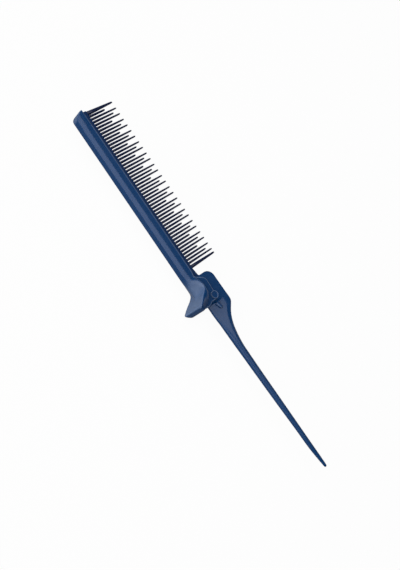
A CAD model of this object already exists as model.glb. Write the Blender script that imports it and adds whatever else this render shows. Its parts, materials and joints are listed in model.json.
# %% [markdown]
# # A teasing comb with a back clamp
# The real object is four plain things: a moulded comb with a long round tail, a moulded clamp that lies
# over the back of the blade, the pin that joins them and a small wire spring hidden round the pin.
# The engineering model gives their sizes, places and movement. This lesson dresses it: it makes smooth
# versions of the moulded shapes, gives them their finish, and sets up the camera and the light.

import json
import math

import bmesh
import bpy
import numpy as np
from mathutils import Matrix, Vector

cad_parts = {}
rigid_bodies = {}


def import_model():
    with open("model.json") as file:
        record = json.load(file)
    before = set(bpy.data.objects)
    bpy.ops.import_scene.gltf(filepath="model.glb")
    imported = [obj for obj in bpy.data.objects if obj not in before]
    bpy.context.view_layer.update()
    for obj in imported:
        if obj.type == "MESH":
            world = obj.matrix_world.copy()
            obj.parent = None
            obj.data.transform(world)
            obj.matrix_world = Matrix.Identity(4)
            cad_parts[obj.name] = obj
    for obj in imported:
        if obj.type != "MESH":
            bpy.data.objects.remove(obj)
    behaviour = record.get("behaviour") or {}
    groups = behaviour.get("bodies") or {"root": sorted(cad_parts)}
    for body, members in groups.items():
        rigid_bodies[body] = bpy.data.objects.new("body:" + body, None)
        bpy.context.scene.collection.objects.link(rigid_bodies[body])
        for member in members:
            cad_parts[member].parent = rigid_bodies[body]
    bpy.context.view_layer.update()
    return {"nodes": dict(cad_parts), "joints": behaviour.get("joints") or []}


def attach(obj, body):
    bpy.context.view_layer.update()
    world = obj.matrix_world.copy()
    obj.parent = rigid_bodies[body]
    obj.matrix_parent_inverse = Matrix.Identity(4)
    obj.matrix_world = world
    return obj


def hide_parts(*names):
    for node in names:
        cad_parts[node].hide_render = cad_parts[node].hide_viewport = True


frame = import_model()
print("nodes:", sorted(frame["nodes"]))

# %% [markdown]
# Everything on the comb was drawn from the hinge, so every size below is measured from the hinge axis
# in millimetres, with X towards the tail tip, Y towards the tips of the teeth and Z up. The joint in the
# record says where that axis is, so nothing here has to be fitted by eye.

# %% Find the hinge axis
MM = 0.001
HINGE = Vector(frame["joints"][0]["pos_m"])


def from_hinge(x, y, z):
    """A place given in millimetres from the hinge, in the model's own metres."""
    return HINGE + Vector((x, y, z)) * MM


print("hinge axis at", [round(value, 4) for value in HINGE])

# %% [markdown]
# The photograph looks down on the comb's flat side from its back edge, about 35 degrees off square, with
# the tail running to the lower right. A camera is three directions and a distance. Building the rotation
# from those directions is surer than turning the camera by hand, because each can be checked alone.

# %% Place the camera
VIEW_TILT = math.radians(35.0)
VIEW_ROLL = math.radians(55.763)
VIEW_DISTANCE = 483.47
VIEW_TARGET = (-8.54, -1.41, 0.0)
LENS = 57.18
SENSOR = 36.0


def make_camera():
    towards = Vector((0.0, -math.sin(VIEW_TILT), math.cos(VIEW_TILT)))
    across = Vector((0.0, math.cos(VIEW_TILT), math.sin(VIEW_TILT)))
    along = Vector((1.0, 0.0, 0.0))
    right = along * math.cos(VIEW_ROLL) + across * math.sin(VIEW_ROLL)
    up = across * math.cos(VIEW_ROLL) - along * math.sin(VIEW_ROLL)
    data = bpy.data.cameras.new("camera")
    data.lens = LENS
    data.sensor_width = SENSOR
    camera = bpy.data.objects.new("camera", data)
    turn = Matrix((right, up, towards)).transposed().to_4x4()
    camera.matrix_world = Matrix.Translation(from_hinge(*VIEW_TARGET) + towards * VIEW_DISTANCE * MM) @ turn
    bpy.context.scene.collection.objects.link(camera)
    bpy.context.scene.camera = camera
    return camera


print("camera at", [round(value, 3) for value in make_camera().location])

# %% [markdown]
# A node tree is easier to read as a formula than as a list of boxes and cables. One small class holds a
# socket and turns plus, minus, times and divided by into Math nodes. A second one adds any other node from
# its type, its settings and what goes into its sockets. Both serve materials and Geometry Nodes alike.

# %% Helpers for node trees
# the Mix node has a set of sockets for each kind of data, and these are the ones for colours
MIX_SHARE = 0
MIX_FIRST = 6
MIX_SECOND = 7
MIX_RESULT = 2


class Wire:
    """One socket of a node tree that can be used in a formula."""

    def __init__(self, board, socket):
        self.board = board
        self.socket = socket

    def math(self, operation, *others):
        return self.board.out("ShaderNodeMath", {"operation": operation}, dict(enumerate((self, *others))))

    def axis(self, name):
        """The X, Y or Z of a vector."""
        return self.board.out("ShaderNodeSeparateXYZ", values={0: self}, output=name)

    def __add__(self, other):
        return self.math("ADD", other)

    def __sub__(self, other):
        return self.math("SUBTRACT", other)

    def __rsub__(self, other):
        return self.math("MULTIPLY", -1.0).math("ADD", other)

    def __mul__(self, other):
        return self.math("MULTIPLY", other)

    def __truediv__(self, other):
        return self.math("DIVIDE", other)

    def __pow__(self, other):
        return self.math("POWER", other)


class Board:
    """A node tree being filled."""

    def __init__(self, tree):
        self.tree = tree
        tree.nodes.clear()

    def node(self, kind, settings=None, values=None):
        """Adds a node. Each value, a plain one or a wire, goes into the socket its key names or counts."""
        node = self.tree.nodes.new(kind)
        for name, value in (settings or {}).items():
            setattr(node, name, value)
        for name, value in (values or {}).items():
            if isinstance(value, Wire):
                self.tree.links.new(value.socket, node.inputs[name])
            else:
                node.inputs[name].default_value = value
        return node

    def out(self, kind, settings=None, values=None, output=0):
        """Adds a node and gives back one of its outputs."""
        return Wire(self, self.node(kind, settings, values).outputs[output])

    def vector(self, **axes):
        """A vector from the axes given. The others are 0."""
        return self.out("ShaderNodeCombineXYZ", values=axes)

    def noise(self, place, waves, detail, roughness=0.5):
        """Noise with so many waves to the metre."""
        values = {"Vector": place, "Scale": waves, "Detail": detail, "Roughness": roughness}
        return self.out("ShaderNodeTexNoise", values=values)

    def mixed(self, share, first, second):
        """A colour between two others."""
        values = {MIX_SHARE: share, MIX_FIRST: first, MIX_SECOND: second}
        return self.out("ShaderNodeMix", {"data_type": "RGBA"}, values, output=MIX_RESULT)

    def bump(self, height, strength, depth):
        values = {"Height": height, "Strength": strength, "Distance": depth}
        return self.out("ShaderNodeBump", values=values)

    def surface(self, values):
        """Ends a material with one shader for plastic and metal alike."""
        shader = self.out("ShaderNodeBsdfPrincipled", values=values)
        self.node("ShaderNodeOutputMaterial", values={"Surface": shader})


def new_material(name):
    material = bpy.data.materials.new(name)
    material.use_nodes = True
    return material, Board(material.node_tree)


def grey(level):
    return (level, level, level, 1.0)


# %% [markdown]
# The comb is shown on plain white, lying on one edge of its thumb paddle. A real studio uses a sheet of
# paper that curves up behind the object, so that no horizon shows. This one curves up on all sides, because
# the comb is looked at from all sides, and it stays low, so that the comb's flat sides never mirror it. It
# carries a soft shadow. Where the camera sees it, it is mixed with plain white light, so that it reads as
# white without any more light on the comb. Where the comb's own gloss sees it, it is a dim grey.

# %% Make the sheet of paper
SHEET_RADIUS = 1.9
SHEET_FLAT = 1.6
SHEET_STEPS = 96
SHEET_RINGS = 16
SHEET_RISE = 75
SHEET_WHITE = 0.88
SHEET_GLOW = 0.96
MIRROR_GLOW = 0.2
SHEET_GAP = 0.0005


def sheet_material():
    material, board = new_material("white_sheet")
    paper = board.out("ShaderNodeBsdfDiffuse", values={"Color": grey(SHEET_WHITE)})
    glow = board.out("ShaderNodeEmission", values={"Color": grey(1.0), "Strength": 1.0})
    dim = board.out("ShaderNodeEmission", values={"Color": grey(MIRROR_GLOW), "Strength": 1.0})
    path = board.node("ShaderNodeLightPath")
    seen = Wire(board, path.outputs["Is Camera Ray"]) * SHEET_GLOW
    through = Wire(board, path.outputs["Is Transmission Ray"])
    mirrored = Wire(board, path.outputs["Is Glossy Ray"]).math("MAXIMUM", through)
    direct = board.out("ShaderNodeMixShader", values={0: seen, 1: paper, 2: glow})
    mixed = board.out("ShaderNodeMixShader", values={0: mirrored, 1: direct, 2: dim})
    board.node("ShaderNodeOutputMaterial", values={"Surface": mixed})
    return material


def make_sheet():
    curve = SHEET_RADIUS - SHEET_FLAT
    bm = bmesh.new()
    rings = []
    for turn in np.radians(np.linspace(0, SHEET_RISE, SHEET_RINGS)):
        radius = SHEET_FLAT + curve * math.sin(turn)
        height = curve * (1 - math.cos(turn)) - SHEET_GAP
        angles = np.linspace(0, 2 * math.pi, SHEET_STEPS, endpoint=False)
        rings.append([bm.verts.new((radius * math.cos(a), radius * math.sin(a), height)) for a in angles])
    bm.faces.new(rings[0])
    for low, high in zip(rings, rings[1:]):
        for k in range(SHEET_STEPS):
            after = (k + 1) % SHEET_STEPS
            bm.faces.new((low[k], low[after], high[after], high[k]))
    bmesh.ops.recalc_face_normals(bm, faces=bm.faces)
    mesh = bpy.data.meshes.new("sheet")
    bm.to_mesh(mesh)
    bm.free()
    mesh.materials.append(sheet_material())
    mesh.shade_smooth()
    sheet = bpy.data.objects.new("sheet", mesh)
    bpy.context.scene.collection.objects.link(sheet)
    return sheet


print("sheet:", tuple(round(side, 2) for side in make_sheet().dimensions))

# %% [markdown]
# In the photograph the surfaces that lean towards the back edge have a broad grey-blue gloss, even those
# that lean only a little, while the flat sides reflect a dark part of the room and stay deep blue. So one
# wide soft box hangs over the comb and a second one stands low beside its back edge. A smaller one lights
# the sloping face of the far end, and a weak one on the side of the teeth lifts the edges that face it.
# The rest of the room gives only a dim fill, although the camera sees it as plain white.

# %% Light the comb
ROOM_LEVEL = 0.06


def soft_box(name, towards, distance, size, radiance):
    """A square lamp that faces the comb from the direction given, with one edge along the comb."""
    data = bpy.data.lights.new(name, "AREA")
    data.shape = "SQUARE"
    data.size = size
    data.energy = radiance * math.pi * size * size
    lamp = bpy.data.objects.new(name, data)
    away = Vector(towards).normalized()
    right = Vector((1.0, 0.0, 0.0))
    right = (right - away * right.dot(away)).normalized()
    turn = Matrix((right, away.cross(right), away)).transposed().to_4x4()
    lamp.matrix_world = Matrix.Translation(away * distance) @ turn
    bpy.context.scene.collection.objects.link(lamp)
    return lamp


def make_room():
    """A dim room that the camera sees as plain white above the sheet's rim."""
    world = bpy.data.worlds.new("room")
    world.use_nodes = True
    board = Board(world.node_tree)
    dim = board.out("ShaderNodeBackground", values={"Color": grey(ROOM_LEVEL), "Strength": 1.0})
    white = board.out("ShaderNodeBackground", values={"Color": grey(1.0), "Strength": 1.0})
    seen = board.out("ShaderNodeLightPath", output="Is Camera Ray")
    room = board.out("ShaderNodeMixShader", values={0: seen, 1: dim, 2: white})
    board.node("ShaderNodeOutputWorld", values={"Surface": room})
    bpy.context.scene.world = world


def light_scene():
    make_room()
    soft_box("overhead_box", towards=(-0.20, -0.01, 0.98), distance=0.9, size=0.76, radiance=2.0)
    soft_box("back_edge_box", towards=(-0.22, -0.87, 0.44), distance=1.0, size=0.98, radiance=2.0)
    soft_box("far_end_box", towards=(-0.88, -0.24, 0.41), distance=0.95, size=0.7, radiance=1.6)
    soft_box("tooth_side_box", towards=(0.25, 0.93, 0.16), distance=1.1, size=0.6, radiance=0.8)
    bpy.context.scene.view_settings.view_transform = "Standard"
    return [item.name for item in bpy.data.objects if item.type == "LIGHT"]


print("lamps:", light_scene())

# %% [markdown]
# All the mouldings share one navy plastic. A moulded surface isn't perfect: the colour drifts a little
# where the melt flowed, the polish of the mould varies, and a very fine grain catches the light. Noise on
# Object coordinates gives all three, in true millimetres, and stays put when the piece moves. Edges and the
# places under the thumb are a paler grey-blue. Each piece stores that as one number for each vertex, called
# rubbed, and the material mixes in the paler colour by it. A vertex's bulge, how far it stands out above
# its neighbours, tells an outer edge from a hollow fold.

# %% The moulded plastic
RUBBED = (0.106, 0.168, 0.305, 1.0)
RUB_LEAST = 0.85
RUB_CLOUDS = 0.3
FLOW_WAVES = 45.0
CLOUD_WAVES = 260.0
FLOW_SHARE = 0.7
GRAIN_SHARE = 0.6
FLOW_ROUGHNESS = 0.10
CLOUD_ROUGHNESS = 0.16
RUB_ROUGHNESS = 0.06
GRAIN_STRENGTH = 0.10
GRAIN_DEPTH = 0.0001
SPECULAR = 0.43


def plastic(name, deep, pale, grain, polish):
    """A satin moulding. grain is the width of its grain in mm, and polish is the mean roughness."""
    material, board = new_material(name)
    place = board.out("ShaderNodeTexCoord", output="Object")
    flow = board.noise(place, FLOW_WAVES, detail=3.0, roughness=0.55)
    cloud = board.noise(place, CLOUD_WAVES, detail=4.0)
    speckle = board.noise(place, 1 / MM / grain, detail=2.0)
    rubbed = board.out("ShaderNodeAttribute", {"attribute_name": "rubbed"}, output="Fac")
    colour = board.mixed(flow * FLOW_SHARE + cloud * (1 - FLOW_SHARE), (*deep, 1.0), (*pale, 1.0))
    colour = board.mixed(rubbed * (cloud * RUB_CLOUDS + RUB_LEAST), colour, RUBBED)
    rough = (cloud - 0.5) * CLOUD_ROUGHNESS + (flow - 0.5) * FLOW_ROUGHNESS
    rough = rough + rubbed * RUB_ROUGHNESS + polish
    relief = board.bump(speckle * GRAIN_SHARE + cloud * (1 - GRAIN_SHARE), GRAIN_STRENGTH, GRAIN_DEPTH)
    looks = {"Base Color": colour, "Roughness": rough, "Normal": relief}
    board.surface({**looks, "Specular IOR Level": SPECULAR})
    return material


def bulges(mesh):
    """For each vertex, how far it stands out above its neighbours. Hollow places get less than nothing."""
    bulge = [0.0] * len(mesh.vertices)
    for edge in mesh.edges:
        for here, there in (edge.vertices, reversed(edge.vertices)):
            vertex = mesh.vertices[here]
            bulge[here] += (vertex.co - mesh.vertices[there].co).dot(vertex.normal) / MM
    return bulge


def rub(piece, share):
    """Stores how rubbed each place is, from 0 to 1, worked out from its position, normal and bulge."""
    layer = piece.data.attributes.new("rubbed", "FLOAT", "POINT")
    for vertex, bulge in zip(piece.data.vertices, bulges(piece.data)):
        found = share((vertex.co - HINGE) / MM, vertex.normal, bulge)
        layer.data[vertex.index].value = min(1.0, max(0.0, found))
    return piece


navy = plastic("navy_moulding", (0.001, 0.037, 0.136), (0.001, 0.049, 0.170), grain=0.35, polish=0.31)
teeth_navy = plastic("navy_teeth", (0.001, 0.007, 0.042), (0.001, 0.010, 0.056), grain=0.3, polish=0.40)
blade_navy = plastic("navy_blade", (0.001, 0.024, 0.100), (0.001, 0.031, 0.124), grain=0.3, polish=0.36)
print("plastic nodes:", len(navy.node_tree.nodes))

# %% [markdown]
# The spring is drawn steel wire. Drawing leaves fine lines, so its roughness comes from a noise that is
# much finer than the wire is thick. Tempering leaves a slight straw tint here and there.

# %% The spring steel
BRIGHT_STEEL = (0.50, 0.51, 0.53, 1.0)
STRAW_STEEL = (0.60, 0.58, 0.54, 1.0)
STREAK_WAVES = 9000.0
TEMPER_WAVES = 700.0
STREAK_ROUGHNESS = 0.2
STEEL_POLISH = 0.2
STREAK_STRENGTH = 0.2
STREAK_DEPTH = 0.00002


def spring_steel():
    material, board = new_material("drawn_wire")
    place = board.out("ShaderNodeTexCoord", output="Object")
    streak = board.noise(place, STREAK_WAVES, detail=2.0)
    temper = board.noise(place, TEMPER_WAVES, detail=2.0)
    colour = board.mixed(temper, BRIGHT_STEEL, STRAW_STEEL)
    rough = streak * STREAK_ROUGHNESS + STEEL_POLISH
    relief = board.bump(streak, STREAK_STRENGTH, STREAK_DEPTH)
    board.surface({"Base Color": colour, "Metallic": 1.0, "Roughness": rough, "Normal": relief})
    return material


steel = spring_steel()
print("steel nodes:", len(steel.node_tree.nodes))

# %% [markdown]
# Three small mesh tools make most of the comb: a flat outline pushed up into a plate with softened edges,
# a profile turned round the hinge axis, and a skin drawn over a row of cross-sections. Each gives a plain
# mesh in millimetres from the hinge, and one function moves it to its place in metres.

# %% Mesh tools
LEVEL = 1e-6


def arc(centre, radius, start, end, steps):
    """Points on an arc, angles in degrees."""
    angles = np.radians(np.linspace(start, end, steps + 1))
    return [(centre[0] + radius * math.cos(a), centre[1] + radius * math.sin(a)) for a in angles]


def plate(outline, low, high, soften=0.0, segments=3):
    """A flat outline raised from low to high, with the edges of both faces rounded by soften."""
    bm = bmesh.new()
    base = bm.faces.new([bm.verts.new((x, y, low)) for x, y in outline])
    grown = bmesh.ops.extrude_face_region(bm, geom=[base])
    raised = [item for item in grown["geom"] if isinstance(item, bmesh.types.BMVert)]
    bmesh.ops.translate(bm, verts=raised, vec=(0, 0, high - low))
    if soften:
        rims = [edge for edge in bm.edges if abs(edge.verts[0].co.z - edge.verts[1].co.z) < LEVEL]
        bmesh.ops.bevel(bm, geom=rims, offset=soften, segments=segments, profile=0.5, affect="EDGES")
    return bm


def turned(profile, steps):
    """A profile of radii and heights spun round the hinge axis."""
    bm = bmesh.new()
    rings = []
    for radius, height in profile:
        angles = np.linspace(0, 2 * math.pi, steps, endpoint=False) if radius else [0.0]
        rings.append([bm.verts.new((radius * math.cos(a), radius * math.sin(a), height)) for a in angles])
    for low, high in zip(rings, rings[1:]):
        for k in range(steps):
            corners = (low[k % len(low)], low[(k + 1) % steps % len(low)],
                       high[(k + 1) % steps % len(high)], high[k % len(high)])
            bm.faces.new(list(dict.fromkeys(corners)))
    return bm


def skin(sections):
    """A closed skin over a row of cross-sections that all have the same number of points."""
    bm = bmesh.new()
    rings = [[bm.verts.new(point) for point in section] for section in sections]
    for ring, following in zip(rings, rings[1:]):
        for k in range(len(ring)):
            after = (k + 1) % len(ring)
            bm.faces.new((ring[k], ring[after], following[after], following[k]))
    bm.faces.new(rings[0])
    bm.faces.new(rings[-1])
    return bm


def place_piece(name, bm, material, smooth_angle=35):
    """Makes an object from a mesh in millimetres from the hinge."""
    bmesh.ops.recalc_face_normals(bm, faces=bm.faces)
    bmesh.ops.transform(bm, matrix=Matrix.Translation(HINGE) @ Matrix.Scale(MM, 4), verts=bm.verts)
    mesh = bpy.data.meshes.new(name)
    bm.to_mesh(mesh)
    bm.free()
    mesh.materials.append(material)
    mesh.shade_smooth()
    mesh.set_sharp_from_angle(angle=math.radians(smooth_angle))
    piece = bpy.data.objects.new(name, mesh)
    bpy.context.scene.collection.objects.link(piece)
    return piece


def applied(piece):
    """Replaces the piece's mesh by what its modifiers make of it."""
    bpy.context.view_layer.update()
    evaluated = piece.evaluated_get(bpy.context.evaluated_depsgraph_get())
    made = bpy.data.meshes.new_from_object(evaluated)
    piece.modifiers.clear()
    piece.data = made
    return piece


def cut_away(piece, other):
    """Cuts another mesh out of a piece, and removes the other."""
    step = piece.modifiers.new("cut", "BOOLEAN")
    step.operation = "DIFFERENCE"
    step.solver = "EXACT"
    step.object = other
    applied(piece)
    bpy.data.objects.remove(other, do_unlink=True)
    return piece


def triangles(piece):
    piece.data.calc_loop_triangles()
    return len(piece.data.loop_triangles)


# %% [markdown]
# The head, the web and the tail are one flowing shape. Near the hinge its cross-section is a plate. Past
# the hinge the plate thins towards the back edge, which leaves a raised band along the top, and further on
# the section shrinks and rounds until the tail is a plain rod. A row of such sections with a skin over them
# follows that change closely. The sizes are given at a few stations and a smooth curve fills the rest.

# %% Cross-sections of the handle
HEAD_LEFT = -13.2
HEAD_TOP = 8.3
HEAD_CORNER = 4.7
HEAD_BOTTOM = -5.1
BLADE_BACK = -7.0
BLADE_HALF = 1.3
TAIL_TIP = 109.7

# distance along X, top, bottom, half thickness, how far it is a wedge, how round it is
STATIONS = (
    (-8.0, 8.3, -5.1, 2.6, 0.0, 0.0),
    (3.0, 8.5, -5.2, 2.6, 0.0, 0.0),
    (3.9, 8.55, -5.25, 2.6, 1.0, 0.0),
    (6.0, 8.55, -5.25, 2.6, 1.0, 0.0),
    (6.9, 8.4, -5.25, 2.6, 1.0, 0.0),
    (7.8, 8.0, -5.25, 2.6, 1.0, 0.02),
    (8.9, 7.2, -5.25, 2.6, 1.0, 0.05),
    (10.7, 5.7, -5.2, 2.55, 1.0, 0.12),
    (12.8, 4.2, -5.1, 2.5, 1.0, 0.22),
    (15.0, 3.0, -4.9, 2.5, 1.0, 0.35),
    (19.2, 1.5, -4.8, 2.42, 1.0, 0.60),
    (23.4, 0.7, -4.65, 2.36, 1.0, 0.85),
    (26.6, 0.25, -4.53, 2.30, 1.0, 1.0),
    (31.9, -0.2, -4.38, 2.08, 1.0, 1.0),
    (42.6, -0.2, -4.06, 1.93, 1.0, 1.0),
    (64.0, 0.05, -3.40, 1.72, 1.0, 1.0),
    (85.5, 0.33, -2.55, 1.44, 1.0, 1.0),
    (96.2, 0.46, -2.22, 1.34, 1.0, 1.0),
    (104.3, 0.62, -1.45, 1.04, 1.0, 1.0),
    (108.6, 0.66, -0.92, 0.79, 1.0, 1.0),
)
EDGE_SOFTNESS = 0.35
RIDGE_SHARE = 0.72
THINNING = 0.70
SIDE_POINTS = (3, 4, 8, 3)
CORNER_STEPS = (0.25, 0.5, 0.75, 1.0)
CORNER_LIMIT = 0.4


def steady_slopes(x, y):
    """Slopes for a curve through the stations that never overshoots them."""
    step = np.diff(y) / np.diff(x)
    slope = np.concatenate(([step[0]], (step[1:] + step[:-1]) / 2, [step[-1]]))
    slope[1:-1][step[1:] * step[:-1] <= 0] = 0.0
    return slope


def along_stations(x):
    """The five sizes of the section at x."""
    table = np.array(STATIONS)
    k = int(np.clip(np.searchsorted(table[:, 0], x) - 1, 0, len(table) - 2))
    width = table[k + 1, 0] - table[k, 0]
    t = np.clip((x - table[k, 0]) / width, 0.0, 1.0)
    sizes = []
    for column in range(1, table.shape[1]):
        slope = steady_slopes(table[:, 0], table[:, column])
        first, last = table[k, column], table[k + 1, column]
        rise = first * (1 + 2 * t) * (1 - t) ** 2 + last * t * t * (3 - 2 * t)
        sizes.append(rise + width * slope[k] * t * (1 - t) ** 2 - width * slope[k + 1] * t * t * (1 - t))
    return sizes


def rounded_walk(corners, reach, counts):
    """Points along a path, with every inner corner rounded. counts gives the points on each side."""
    walk = [corners[0]]
    for k, count in enumerate(counts):
        start, end = walk[-1], corners[k + 1]
        last = k == len(counts) - 1
        side = (end - corners[k]).length
        stop = end if last else end.lerp(corners[k], min(CORNER_LIMIT, reach / side))
        walk += [start.lerp(stop, step / count) for step in range(1, count + 1)]
        if not last:
            following = corners[k + 2] - end
            leave = end.lerp(corners[k + 2], min(CORNER_LIMIT, reach / following.length))
            for t in CORNER_STEPS:
                walk.append(stop * (1 - t) ** 2 + end * 2 * t * (1 - t) + leave * t ** 2)
    return walk


def handle_section(x, top, bottom, half, wedge, roundness):
    """The closed outline of the handle at x, between a plate, a wedge and a rod."""
    ridge = bottom + (top - bottom) * RIDGE_SHARE
    middle = (top + bottom) / 2
    thin = half * (1 - THINNING * wedge)
    corners = [(top, 0.0), (top, half), (ridge, half), (bottom, thin), (bottom, 0.0)]
    walk = rounded_walk([Vector(corner) for corner in corners], EDGE_SOFTNESS, SIDE_POINTS)
    ring = []
    for k, point in enumerate(walk):
        angle = math.pi * k / (len(walk) - 1)
        rod = Vector((middle + (top - bottom) / 2 * math.cos(angle), half * math.sin(angle)))
        ring.append(point.lerp(rod, roundness))
    mirrored = [Vector((point.x, -point.y)) for point in reversed(ring[1:-1])]
    return [(x, point.x, point.y) for point in ring + mirrored]


print("section at the hinge:", len(handle_section(0.0, *along_stations(0.0))), "points")

# %% [markdown]
# The head's left end is a rounded corner seen from the side. Close-set sections whose top follows that arc
# draw it, and the last few sections of the tail shrink like the end of a ball. The pocket for the spring
# and the hole for the pin are then cut out, as the mould's cores would leave them.

# %% The head and the tail
SPRING_WIRE = 0.6
SPRING_COIL = 2.1
PIN_HOLE = 1.8
HOLE_HALF = 6
POCKET_HALF = 1.7
POCKET_GAP = 0.6
LEG_ANGLE = 45
LEG_WAY = 3.2
LEG_WAY_WIDTH = 1.2
HEAD_RELIEF = ((-10.2, BLADE_BACK), (-8.3, HEAD_BOTTOM))
HEAD_TURNS = np.radians(np.linspace(8, 90, 22))
HEAD_BEVEL = 0.5
HEAD_THINNING = 0.8
CLOSE_STEP = 0.5
ROD_START = 20.0
ROD_STEP = 1.6
ROD_END = 108.6
TIP_TURNS = np.radians((20, 40, 58, 74, 86))


def body_places():
    """Where the sections stand along X, from the head's left end to the start of the tail's tip."""
    head = [HEAD_LEFT + HEAD_CORNER * (1 - math.cos(turn)) for turn in HEAD_TURNS]
    web = list(np.arange(head[-1] + CLOSE_STEP, ROD_START, CLOSE_STEP))
    return head + web + list(np.arange(ROD_START, ROD_END, ROD_STEP)) + [ROD_END]


def tail_tip(section):
    """The sections that close the tail like the end of a ball."""
    middle = np.mean(np.array(section), axis=0)
    last = np.array(section) - middle
    sections = []
    for turn in TIP_TURNS:
        ring = middle + last * math.cos(turn)
        ring[:, 0] = middle[0] + (TAIL_TIP - middle[0]) * math.sin(turn)
        sections.append([tuple(point) for point in ring])
    return sections


def body_sections():
    corner_end = HEAD_LEFT + HEAD_CORNER
    sections = []
    for x in body_places():
        top, bottom, half, wedge, roundness = along_stations(x)
        if x < corner_end:
            top = HEAD_TOP - (HEAD_CORNER - math.sqrt(HEAD_CORNER ** 2 - (corner_end - x) ** 2))
            half -= max(0.0, HEAD_BEVEL - (x - HEAD_LEFT)) * HEAD_THINNING
        if x < HEAD_RELIEF[1][0]:
            bottom = float(np.interp(x, *zip(*HEAD_RELIEF)))
        sections.append(handle_section(x, top, bottom, half, wedge, roundness))
    return sections + tail_tip(sections[-1])


def pocket():
    """The hollow for the coil, open downwards, with a way out for the spring's inner leg."""
    turn = math.radians(LEG_ANGLE)
    away = Vector((math.cos(turn), math.sin(turn)))
    along = Vector((away.x, -away.y))
    reach = SPRING_COIL + SPRING_WIRE / 2 + POCKET_GAP
    outer = away * (SPRING_COIL + POCKET_GAP) + along * LEG_WAY
    inner = outer - away * LEG_WAY_WIDTH
    mouth = HEAD_BOTTOM - 1
    outline = [tuple(outer)] + arc((0, 0), reach, LEG_ANGLE, 180, 12)
    outline += [(-reach, mouth), (reach, mouth), (reach, inner.y), tuple(inner)]
    return plate(outline, -POCKET_HALF, POCKET_HALF)


def pin_hole():
    """A plain rod, longer than the head is thick, to cut the hole with."""
    profile = ((0, -HOLE_HALF), (PIN_HOLE, -HOLE_HALF), (PIN_HOLE, HOLE_HALF), (0, HOLE_HALF))
    return turned(profile, 48)


comb_body = place_piece("comb_body", skin(body_sections()), navy)
cut_away(comb_body, place_piece("pocket", pocket(), navy))
cut_away(comb_body, place_piece("pin_hole", pin_hole(), navy))
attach(comb_body, "comb")
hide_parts("comb_handle")
print("comb_body:", triangles(comb_body), "triangles")

# %% [markdown]
# The blade is a thin strip. Its back lies in the clamp and its front edge carries the teeth. At the hinge
# end that edge sweeps up into the notch beside the head. At the far end a small ledge under the last tooth
# stands out a little, clear of the clamp. A plate with softened edges is all the blade needs.

# %% The blade
PITCH = 1.85
FINE_TEETH = 52
FINE_TOOTH = 1.05
END_TOOTH = 1.9
HEEL_GAP = -20.6
ROOT = -0.8
GAP_FLOOR = 0.0
NOTCH_FLOOR = 0.5
NOTCH_RADIUS = 0.9
HEEL_LEDGE = -0.2
END_CORNER = 3.4
END_MARGIN = 0.15
ARC_STEPS = 8
BLADE_IN_HEAD = 3.0
BLADE_SOFTNESS = 0.3
END_OFFSET = (PITCH - FINE_TOOTH + END_TOOTH) / 2
HEEL_TOOTH = HEEL_GAP + END_OFFSET
TOE_TOOTH = HEEL_GAP - FINE_TEETH * PITCH - END_OFFSET
BLADE_END = TOE_TOOTH - END_TOOTH / 2 - END_MARGIN
TOE_LEDGE = Vector((BLADE_END - 0.45, -2.6))


def blade_outline():
    notch = (HEAD_LEFT - NOTCH_RADIUS, NOTCH_FLOOR + NOTCH_RADIUS)
    corner = (BLADE_END + END_CORNER, BLADE_BACK + END_CORNER)
    hidden_end = HEAD_LEFT + BLADE_IN_HEAD
    outline = arc(corner, END_CORNER, 180, 270, ARC_STEPS)
    outline += [(hidden_end, BLADE_BACK), (hidden_end, notch[1])]
    outline += arc(notch, NOTCH_RADIUS, 0, -90, ARC_STEPS)
    outline += [(HEEL_TOOTH, HEEL_LEDGE), (HEEL_TOOTH, GAP_FLOOR), (TOE_LEDGE.x, GAP_FLOOR)]
    outline += [tuple(TOE_LEDGE), (BLADE_END, TOE_LEDGE.y)]
    return outline


blade_plate = plate(blade_outline(), -BLADE_HALF, BLADE_HALF, soften=BLADE_SOFTNESS)
comb_blade = place_piece("comb_blade", blade_plate, blade_navy)
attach(comb_blade, "comb")
print("comb_blade:", triangles(comb_blade), "triangles")

# %% [markdown]
# The teeth are the comb's main feature. They follow a rule: every second one is long, and between those a
# short and a medium one take turns, which is what lifts and tangles the hair. Geometry Nodes fit a rule
# like this. A line of points, one for each tooth, carries a plain tube, and a formula then narrows each
# tube towards its tip and rounds the end. The tube's rings crowd towards the tip, where the rounding
# needs them. A tooth is thin along the comb and deep across it. Laying the upright tube down mirrors it,
# so its faces are turned over to point outwards again.

# %% A tree that makes a row of teeth
TOOTH_SIDES = 14
TOOTH_RINGS = 9
RING_CROWDING = 3.0
LEAST_ROUNDING = 0.02
RULE_TURN = 4.0
SHORT_PLACE = 0.0
MEDIUM_PLACE = 2.0
SAME_PLACE = 0.1
MEASURES = ("Pitch", "Short", "Medium", "Long", "Width", "Tip Width", "Depth", "Sink")
INPUTS = {
    "Count": "NodeSocketInt",
    "Start": "NodeSocketVector",
    "Finish": "NodeSocketMaterial",
    **dict.fromkeys(MEASURES, "NodeSocketFloat"),
}


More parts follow.
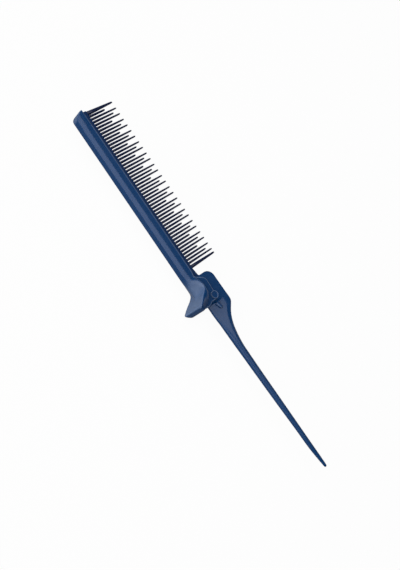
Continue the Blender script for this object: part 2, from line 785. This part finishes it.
def teeth_tree():
    tree = bpy.data.node_groups.new("row_of_teeth", "GeometryNodeTree")
    tree.interface.new_socket("Geometry", in_out="OUTPUT", socket_type="NodeSocketGeometry")
    for name, kind in INPUTS.items():
        tree.interface.new_socket(name, in_out="INPUT", socket_type=kind)
    board = Board(tree)
    given = board.node("NodeGroupInput")
    size = {name: Wire(board, given.outputs[name]) for name in INPUTS}

    def store(geometry, name, value, kind="FLOAT"):
        values = {"Geometry": geometry, "Name": name, "Value": value}
        return board.out("GeometryNodeStoreNamedAttribute", {"data_type": kind}, values)

    def stored(name, kind="FLOAT"):
        return board.out("GeometryNodeInputNamedAttribute", {"data_type": kind}, {"Name": name})

    tube = board.out(
        "GeometryNodeMeshCylinder", {"fill_type": "TRIANGLE_FAN"},
        {"Vertices": TOOTH_SIDES, "Side Segments": TOOTH_RINGS, "Radius": 1.0, "Depth": 1.0})
    spot = board.out("GeometryNodeInputPosition")
    tube = store(tube, "height", spot.axis("Z") + 0.5)
    tube = store(tube, "around", board.vector(X=spot.axis("X"), Y=spot.axis("Y")), "FLOAT_VECTOR")

    line = board.out(
        "GeometryNodeMeshLine", {"mode": "OFFSET"},
        {"Count": size["Count"], "Start Location": size["Start"], "Offset": board.vector(X=size["Pitch"])})
    order = board.out("GeometryNodeInputIndex").math("MODULO", RULE_TURN)
    is_short = order.math("COMPARE", SHORT_PLACE, SAME_PLACE)
    is_medium = order.math("COMPARE", MEDIUM_PLACE, SAME_PLACE)
    length = size["Long"] - is_short * (size["Long"] - size["Short"])
    line = store(line, "length", length - is_medium * (size["Long"] - size["Medium"]))
    copies = {"Points": line, "Instance": tube, "Scale": (0.0, 0.0, 0.0)}
    row = board.out("GeometryNodeInstanceOnPoints", values=copies)
    row = board.out("GeometryNodeRealizeInstances", values={"Geometry": row})

    full = stored("length") + size["Sink"]
    rise = (1.0 - (1.0 - stored("height")) ** RING_CROWDING) * full
    taper = size["Width"] - (size["Width"] - size["Tip Width"]) * rise / (size["Long"] + size["Sink"])
    near_tip = (full - rise).math("MINIMUM", size["Tip Width"]) / size["Tip Width"]
    rounding = (near_tip * (2.0 - near_tip)).math("MAXIMUM", LEAST_ROUNDING).math("SQRT")
    wide = taper * rounding * 0.5
    deep = wide * size["Depth"] / size["Width"]
    ring = stored("around", "FLOAT_VECTOR")
    shift = board.vector(X=ring.axis("X") * wide, Y=rise - size["Sink"], Z=ring.axis("Y") * deep)
    row = board.out("GeometryNodeSetPosition", values={"Geometry": row, "Offset": shift})
    row = board.out("GeometryNodeFlipFaces", values={"Mesh": row})
    row = board.out("GeometryNodeSetMaterial", values={"Geometry": row, "Material": size["Finish"]})
    board.node("NodeGroupOutput", values={"Geometry": row})
    return tree


print("nodes in the tree:", len(teeth_tree().nodes))

# %% [markdown]
# The same tree makes both kinds of teeth: the fifty-two fine ones, and the sturdy guard tooth at each end,
# which is simply a row of one. The guard tooth at the toe is the thickest. A modifier's inputs are set by
# their identifiers before Blender first works the tree out.

# %% The teeth
LENGTHS = {"Short": 12.5, "Medium": 16.2, "Long": 19.6}
FINE_PITCH = 1.857
FINE_WIDTHS = (1.50, 0.85)
HEEL_WIDTHS = (2.2, 1.05)
TOE_WIDTHS = (2.8, 1.05)
TOE_SHIFT = -0.15
TOOTH_DEPTH = 2.3
TOOTH_SINK = 0.6


def teeth_row(name, count, first_x, pitch, widths, lengths):
    """A row of teeth. widths are those at the root and at the tip."""
    piece = place_piece(name, bmesh.new(), navy)
    step = piece.modifiers.new("teeth", "NODES")
    step.node_group = bpy.data.node_groups["row_of_teeth"]
    measures = {"Pitch": pitch, "Depth": TOOTH_DEPTH, "Sink": TOOTH_SINK, **lengths}
    measures["Width"], measures["Tip Width"] = widths
    chosen = {key: value * MM for key, value in measures.items()}
    chosen["Count"] = count
    chosen["Start"] = tuple(from_hinge(first_x, ROOT, 0.0))
    chosen["Finish"] = teeth_navy
    for socket in step.node_group.interface.items_tree:
        if socket.in_out == "INPUT":
            step[socket.identifier] = chosen[socket.name]
    applied(piece)
    for layer in ("height", "around", "length"):
        piece.data.attributes.remove(piece.data.attributes[layer])
    piece.data.shade_smooth()
    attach(piece, "comb")
    return piece


fine_start = HEEL_GAP - PITCH / 2 - (FINE_TEETH - 1) * FINE_PITCH
fine = teeth_row("fine_teeth", FINE_TEETH, fine_start, FINE_PITCH, FINE_WIDTHS, LENGTHS)
guard_lengths = dict.fromkeys(LENGTHS, LENGTHS["Long"])
heel = teeth_row("heel_tooth", 1, HEEL_TOOTH, PITCH, HEEL_WIDTHS, guard_lengths)
toe = teeth_row("toe_tooth", 1, TOE_TOOTH + TOE_SHIFT, PITCH, TOE_WIDTHS, guard_lengths)
print("teeth:", [triangles(row) for row in (fine, heel, toe)], "triangles")

# %% [markdown]
# A low rib on each face of the web stops the clamp's ear when the clamp is fully open. It is a short bar
# with soft edges that leans up along the web. The edge that faces the back edge of the comb shines.

# %% The stop ribs
RIB_START = Vector((4.4, -1.4))
RIB_LENGTH = 3.7
RIB_SLOPE = math.radians(19)
RIB_WIDTHS = (2.1, 1.5)
RIB_FOOT = 1.6
RIB_TOP = 3.2
RIB_SOFTNESS = 0.7
RIB_STEPS = 5


def rib(side):
    """The rib on the upper face for a side of 1, on the lower one for -1."""
    end = RIB_START + RIB_LENGTH * Vector((math.cos(RIB_SLOPE), math.sin(RIB_SLOPE)))
    up = Vector((0.0, 1.0))
    outline = [RIB_START, end, end + up * RIB_WIDTHS[1], RIB_START + up * RIB_WIDTHS[0]]
    low, high = sorted((side * RIB_FOOT, side * RIB_TOP))
    return plate([tuple(point) for point in outline], low, high, soften=RIB_SOFTNESS, segments=RIB_STEPS)


def rib_rub(point, normal, bulge):
    """Pale along the softened edges that face the back edge of the comb."""
    return 1.0 if normal.y < -0.2 and abs(normal.z) > 0.1 else 0.0


def make_ribs():
    front, back = rib(1), rib(-1)
    mesh = bpy.data.meshes.new("back_rib")
    back.to_mesh(mesh)
    back.free()
    front.from_mesh(mesh)
    piece = rub(place_piece("stop_ribs", front, navy), rib_rub)
    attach(piece, "comb")
    return piece


print("stop_ribs:", triangles(make_ribs()), "triangles")

# %% [markdown]
# The pin has a wide dished head on each side. The rim of the dish is a low ridge that slopes on both
# flanks, and it is rubbed pale, so it shows as a bright ring. It is a turned shape, so one profile spun
# round the hinge axis makes all of it. The lower head uses the same points with their heights negated.

# %% The hinge pin
PIN_SHANK = 1.5
PIN_SEAT = 4.35
PIN_FLOOR = 4.40
RIM_HEIGHT = 4.65
RIM_FOOT = 0.04
RIM_INNER = 1.70
RIM_CREST = (1.95, 2.12)
PIN_HEAD = 2.25
PIN_STEPS = 72


def pin_profile():
    inner = [(0.0, PIN_FLOOR), (RIM_INNER, PIN_FLOOR)]
    crest = [(radius, RIM_HEIGHT) for radius in RIM_CREST]
    return inner + crest + [(PIN_HEAD, PIN_FLOOR + RIM_FOOT), (PIN_HEAD, PIN_SEAT), (PIN_SHANK, PIN_SEAT)]


def pin_rub(point, normal, bulge):
    """Pale on the rim."""
    return 1.0 if abs(point.z) > PIN_FLOOR + RIM_FOOT / 2 else 0.0


def make_pin():
    upper = pin_profile()
    profile = upper + [(radius, -height) for radius, height in reversed(upper)]
    piece = rub(place_piece("pin", turned(profile, PIN_STEPS), navy, smooth_angle=20), pin_rub)
    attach(piece, "comb")
    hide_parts("hinge_pin")
    return piece


print("pin:", triangles(make_pin()), "triangles")

# %% [markdown]
# The spring is one wire: a leg that presses on the clamp, a little over two turns round the pin, and a leg
# that presses on the head. A curve with a round bevel is the quick way to make wire, and turning it into
# a mesh fixes its shape for good.

# %% The return spring
SPRING_TURNS = 2.375
SPRING_PITCH = 1.06
SPRING_POINTS = 97
CLAMP_LEG = 6.9
HEAD_LEG = 2.6
LEG_BEND = 0.4


def spring_line():
    height = SPRING_PITCH * SPRING_TURNS
    coil = []
    for share in np.linspace(0.0, 1.0, SPRING_POINTS):
        angle = math.pi - 2 * math.pi * SPRING_TURNS * share
        across = SPRING_COIL * Vector((math.cos(angle), math.sin(angle)))
        coil.append(Vector((*across, height * (share - 0.5))))
    out = Vector((1.0, -1.0, 0.0)).normalized()
    down = Vector((0.0, -1.0, 0.0))
    clamp_leg = [coil[0] + down * CLAMP_LEG, coil[0] + down * LEG_BEND]
    head_leg = [coil[-1] + out * LEG_BEND, coil[-1] + out * HEAD_LEG]
    return clamp_leg + coil + head_leg


def make_spring():
    points = spring_line()
    data = bpy.data.curves.new("spring_line", "CURVE")
    data.dimensions = "3D"
    data.bevel_depth = SPRING_WIRE / 2
    data.bevel_resolution = 3
    data.use_fill_caps = True
    line = data.splines.new("POLY")
    line.points.add(len(points) - 1)
    for target, point in zip(line.points, points):
        target.co = (*point, 1.0)
    wire = bpy.data.objects.new("spring_line", data)
    bpy.context.scene.collection.objects.link(wire)
    bpy.context.view_layer.update()
    evaluated = wire.evaluated_get(bpy.context.evaluated_depsgraph_get())
    bm = bmesh.new()
    bm.from_mesh(bpy.data.meshes.new_from_object(evaluated))
    bpy.data.objects.remove(wire, do_unlink=True)
    bmesh.ops.remove_doubles(bm, verts=bm.verts, dist=0.001)
    piece = place_piece("spring", bm, steel)
    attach(piece, "comb")
    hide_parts("return_spring")
    return piece


print("spring:", triangles(make_spring()), "triangles")

# %% [markdown]
# The clamp's solid already has the right channel, ears and paddle. What it lacks is the softness of a
# moulding: on the real clamp the shapes flow into each other like clay. So each end of the solid is cut
# off, rebuilt as a fine even skin of small faces and smoothed many times over. Each place says how much
# of that it gets, so the flat ears stay flat. In the photograph the lips of the channel stand a little
# further out than on the solid, so both ends get that too. Most of these rules are a ramp between two places.

# %% Tools for the clamp
ROOT_CUT = -17.6
END_CUT = -108.0
BEFORE_CLAMP = -130.0
PAST_CLAMP = 20.0
SAME_POINT = 1e-6
FLAT_ANGLE = math.radians(1.5)
SKIN_SIZE = 0.18
LEAST_MELT = 0.12
MELT_STEP = 0.7
EAR_HALF = 4.05
LIP_AT_EAR = -4.15
LIP_GAIN = 0.8
LIP_GROWS = (-13.8, -16.8)
LIP_FOLLOWS = (-6.5, -5.0)
LIP_PALENESS = 0.6
LIP_OUTSIDE = 3.6
LIP_WIDTH = 0.9
LIP_MARGIN = 0.05
LIP_TURN = 0.2
EAR_LEFT = -13.5


def ramp(value, start, end):
    """Rises from 0 at start to 1 at end, and is level outside them."""
    return min(1.0, max(0.0, (value - start) / (end - start)))


def clamp_part(name, low_x, high_x):
    """A merged copy of the clamp's solid, cut off outside low_x and high_x."""
    bm = bmesh.new()
    bm.from_mesh(frame["nodes"]["back_clamp"].data)
    bmesh.ops.remove_doubles(bm, verts=bm.verts, dist=SAME_POINT)
    for cut, side in ((low_x, 1), (high_x, -1)):
        bmesh.ops.bisect_plane(
            bm, geom=bm.verts[:] + bm.edges[:] + bm.faces[:], dist=SAME_POINT / 10,
            plane_co=from_hinge(cut, 0, 0), plane_no=(side, 0, 0), clear_inner=True)
        bmesh.ops.holes_fill(bm, edges=bm.edges)
    bmesh.ops.dissolve_limit(bm, angle_limit=FLAT_ANGLE, verts=bm.verts, edges=bm.edges)
    bmesh.ops.recalc_face_normals(bm, faces=bm.faces)
    mesh = bpy.data.meshes.new(name)
    bm.to_mesh(mesh)
    bm.free()
    mesh.materials.clear()
    mesh.materials.append(navy)
    piece = bpy.data.objects.new(name, mesh)
    bpy.context.scene.collection.objects.link(piece)
    return piece


def even_skin(piece):
    remesh = piece.modifiers.new("even_skin", "REMESH")
    remesh.mode = "VOXEL"
    remesh.voxel_size = SKIN_SIZE * MM
    return applied(piece)


def melt(piece, softness, rounds):
    """Smooths the skin again and again, by the share that softness gives for each place."""
    soft = piece.vertex_groups.new(name="soft")
    for vertex in piece.data.vertices:
        share = softness((vertex.co - HINGE) / MM)
        soft.add([vertex.index], max(LEAST_MELT, share), "REPLACE")
    smooth = piece.modifiers.new("melt", "SMOOTH")
    smooth.factor = MELT_STEP
    smooth.iterations = rounds
    smooth.vertex_group = "soft"
    applied(piece)
    piece.vertex_groups.clear()
    piece.data.shade_smooth()
    return piece


def shifted(piece, shift):
    """Moves each vertex by what shift gives for its place, both in mm."""
    for vertex in piece.data.vertices:
        vertex.co += shift((vertex.co - HINGE) / MM) * MM
    return piece


def lip_gain(x):
    """How far the lip stands out at x. It grows from nothing at the ear."""
    return LIP_GAIN * ramp(x, *LIP_GROWS)


def lips_out(point):
    """The lips of the channel move out towards the teeth."""
    return Vector((0.0, lip_gain(point.x) * ramp(point.y, *LIP_FOLLOWS), 0.0))


def lip_rub(point, normal, bulge):
    """Pale along the lips of the channel."""
    lip = LIP_AT_EAR + lip_gain(point.x)
    on_lip = abs(point.z) > LIP_OUTSIDE and lip - LIP_WIDTH < point.y < lip + LIP_MARGIN
    turning = normal.y > LIP_TURN and abs(normal.z) > LIP_TURN
    return LIP_PALENESS if on_lip and (turning or point.x < EAR_LEFT) else 0.0


print("far end cut at", END_CUT, "mm and root at", ROOT_CUT, "mm")

# %% [markdown]
# Between its two ends the clamp is a channel with the same section everywhere: a back, two sloping
# shoulders, two flanks and their lips. Only the corners of one half are written down, and the other half
# is its mirror image. The channel runs a little way into both ends, so that no gap can show.

# %% The channel of the clamp
OVERLAP = 0.9
LIP_EDGE = LIP_AT_EAR + LIP_GAIN
LIP_CHAMFER = 0.4
BACK_OUTSIDE = -9.0
BACK_INSIDE = -7.3
INNER_HALF = 2.3
CHANNEL_CORNERS = (
    (BACK_OUTSIDE, 0.0),
    (BACK_OUTSIDE, 1.9),
    (-7.55, EAR_HALF),
    (LIP_EDGE - LIP_CHAMFER, EAR_HALF),
    (LIP_EDGE, EAR_HALF - LIP_CHAMFER),
    (LIP_EDGE, INNER_HALF),
    (BACK_INSIDE, INNER_HALF),
    (BACK_INSIDE, 0.0),
)
CHANNEL_SOFTNESS = 0.3
CHANNEL_POINTS = (3, 4, 7, 2, 2, 3, 3)
CHANNEL_SECTIONS = 40


def channel_section(x):
    """The clamp's channel cut across, with its corners rounded."""
    walk = rounded_walk([Vector(corner) for corner in CHANNEL_CORNERS], CHANNEL_SOFTNESS, CHANNEL_POINTS)
    mirrored = [Vector((point.x, -point.y)) for point in reversed(walk[1:-1])]
    return [(x, point.x, point.y) for point in walk + mirrored]


def make_channel():
    places = np.linspace(END_CUT - OVERLAP, ROOT_CUT + OVERLAP, CHANNEL_SECTIONS)
    piece = place_piece("clamp_channel", skin([channel_section(x) for x in places]), navy)
    return rub(piece, lip_rub)


clamp_channel = make_channel()
print("clamp_channel:", triangles(clamp_channel), "triangles")

# %% [markdown]
# The thumb paddle melts in three goes: a long one along the fold where it rises from its root, a short one
# all over, and one round the corners of its tip. Melting shrinks the tip, so it is stretched back. Then the
# lower end of the ears and the paddle's skirt move a little towards the tail, as in the photograph, but the
# slot for the spring's leg stays. The face under the thumb and the ears' edges are rubbed pale.

# %% The paddle and the ears
THUMB_SIDE = Vector((-0.75, -0.62, 0.0)).normalized()
ROOT_SIDE = Vector((0.0, -0.83, 0.55)).normalized()
VALLEY = (Vector((-3.5, -9.0, 0.0)), Vector((-6.9, -4.8, 8.25)))
VALLEY_REACH = 5.0
TIP_CORNER = Vector((0.5, -14.5, 9.5))
CORNER_REACH = 3.4
MELT_FADE = 1.5
VALLEY_ROUNDS = 200
PADDLE_ROUNDS = 20
CORNER_ROUNDS = 90
OFF_EAR = (EAR_HALF + 0.25, EAR_HALF + 0.75)
BELOW_EAR = (-7.2, -8.0)
PAST_ROOT = (-16.4, -14.4)
TIP_STRETCH = Vector((0.1, -0.95, 0.075))
TIP_GROWS = (-9.0, -13.5)
PADDLE_TIP = Vector((0.9, -14.5, 0.0))
REACH = 1.1
REACH_GROWS = (-3.6, -6.2)
REACH_FADES = (-7.5, -10.5)
REACH_LOSS = 0.7
REACH_DEPTH = (0.0, 3.5)
BESIDE_SPRING = (1.8, 2.6)
BELOW_SPRING = (-7.3, -8.3)
THUMB_FACES = (0.50, 0.85)
ROOT_FACES = (0.75, 0.90)
THUMB_GROWS = (-15.5, -8.5)
THUMB_PALES = (-6.0, -12.4)
THUMB_LEAST = 0.68
EAR_SKIN = (3.3, EAR_HALF + 0.1)
EAR_CORNER = Vector((-3.5, -6.6))
EDGE_TURNS = (0.3, 0.985)


def paddle_softness(point):
    """Fully melted on the paddle and little on the ears."""
    off_ear = max(ramp(abs(point.z), *OFF_EAR), ramp(point.y, *BELOW_EAR))
    return min(off_ear, ramp(point.x, *PAST_ROOT))


def valley_softness(point):
    """Melted close to the fold where the paddle rises from its root."""
    low, high = VALLEY
    place = Vector((point.x, point.y, abs(point.z)))
    along = high - low
    share = ramp((place - low).dot(along), 0.0, along.length_squared)
    away = (place - low.lerp(high, share)).length
    return ramp(away, VALLEY_REACH, VALLEY_REACH - MELT_FADE)


def corner_softness(point):
    """Melted most round the two corners of the paddle's tip."""
    away = (Vector((point.x, point.y, abs(point.z))) - TIP_CORNER).length
    return ramp(away, CORNER_REACH, CORNER_REACH - MELT_FADE)


def tip_out(point):
    """The tip of the paddle gets back the size that melting took from it."""
    return Vector((TIP_STRETCH.x, TIP_STRETCH.y, TIP_STRETCH.z * point.z)) * ramp(point.y, *TIP_GROWS)


def ears_back(point):
    """The lower end of the ears and the paddle's skirt move a little towards the tail."""
    behind_thumb = ramp((PADDLE_TIP - point).dot(THUMB_SIDE), *REACH_DEPTH)
    below_pin = ramp(point.y, *REACH_GROWS) * (1.0 - REACH_LOSS * ramp(point.y, *REACH_FADES))
    off_spring = max(ramp(abs(point.z), *BESIDE_SPRING), ramp(point.y, *BELOW_SPRING))
    return Vector((REACH * below_pin * off_spring * behind_thumb, 0.0, 0.0))


def paddle_rub(point, normal, bulge):
    """Pale where the thumb rubs, and along the ears' edges."""
    facing = Vector((normal.x, normal.y, abs(normal.z)))
    thumb = max(ramp(facing.dot(THUMB_SIDE), *THUMB_FACES), ramp(facing.dot(ROOT_SIDE), *ROOT_FACES))
    thumb *= ramp(point.x, *THUMB_GROWS) * (THUMB_LEAST + (1 - THUMB_LEAST) * ramp(point.y, *THUMB_PALES))
    on_ear = EAR_SKIN[0] < abs(point.z) < EAR_SKIN[1] and (point.y > EAR_CORNER.y or point.x > EAR_CORNER.x)
    on_edge = bulge > 0.0 and EDGE_TURNS[0] < abs(normal.z) < EDGE_TURNS[1]
    return max(thumb, 1.0 if on_ear and on_edge else 0.0, lip_rub(point, normal, bulge))


def make_paddle():
    piece = shifted(even_skin(clamp_part("clamp_paddle", ROOT_CUT, PAST_CLAMP)), lips_out)
    melt(piece, valley_softness, VALLEY_ROUNDS)
    melt(piece, paddle_softness, PADDLE_ROUNDS)
    melt(piece, corner_softness, CORNER_ROUNDS)
    return rub(shifted(shifted(piece, tip_out), ears_back), paddle_rub)


clamp_paddle = make_paddle()
print("clamp_paddle:", triangles(clamp_paddle), "triangles")

# %% [markdown]
# The far end closes the channel with a sloping face. In the photograph that face also falls back a little
# from the lips to the back edge, so the end leans. It is melted most at its very end, and the face is
# rubbed pale where it turns away.

# %% The far end of the clamp
END_LEAN = 0.226
END_PIVOT = -4.5
END_LEANS = (END_CUT - 3.0, END_CUT - 11.0)
END_MELTS = (END_CUT - 1.5, END_CUT - 4.5)
END_ROUNDS = 60
END_PALENESS = 0.6
END_TURNS = (0.12, 0.42)


def end_back(point):
    """The far end leans, so that its face falls back a little from the lips to the back edge."""
    return Vector((ramp(point.x, *END_LEANS) * END_LEAN * (END_PIVOT - point.y), 0.0, 0.0))


def end_softness(point):
    return ramp(point.x, *END_MELTS)


def end_rub(point, normal, bulge):
    """Pale where the far end turns away, and along the lips."""
    return max(lip_rub(point, normal, bulge), END_PALENESS * ramp(-normal.x, *END_TURNS))


def make_end():
    piece = shifted(even_skin(clamp_part("clamp_end", BEFORE_CLAMP, END_CUT)), lips_out)
    return rub(melt(shifted(piece, end_back), end_softness, END_ROUNDS), end_rub)


clamp_end = make_end()
print("clamp_end:", triangles(clamp_end), "triangles")
for piece in (clamp_channel, clamp_paddle, clamp_end):
    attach(piece, "clamp")
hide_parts("back_clamp")
